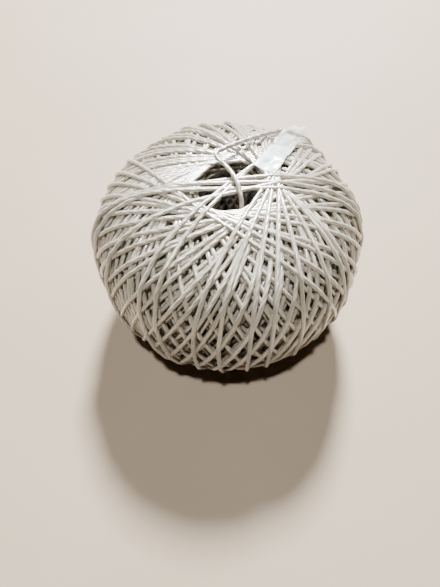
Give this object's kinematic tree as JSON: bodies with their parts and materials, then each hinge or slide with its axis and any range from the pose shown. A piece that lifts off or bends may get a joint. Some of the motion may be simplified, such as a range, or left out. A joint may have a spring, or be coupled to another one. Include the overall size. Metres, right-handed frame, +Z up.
{
  "type": "ball of string",
  "caption": "Wound ball of polished white string with an open core, a loose end lying over the core and a strip of clear tape on its shoulder.",
  "frame": {"origin": "middle of the flat foot that the ball stands on, on the core's axis", "axes": "+Z up along the core's axis, +X to the right and +Y away from the viewer, with the clear tape at the rear right"},
  "size_m": [0.0808, 0.0808, 0.0594],
  "materials": {
    "string": "polished ivory-white string, silky, with a light ply twist",
    "string_end": "the same polished string, laid over the core",
    "clear_tape": "clear sticky tape, slightly cloudy, with soft creases"
  },
  "bodies": {
    "root": {"wound_ball": "string", "loose_end": "string_end", "end_tape": "clear_tape"}
  },
  "joints": []
}
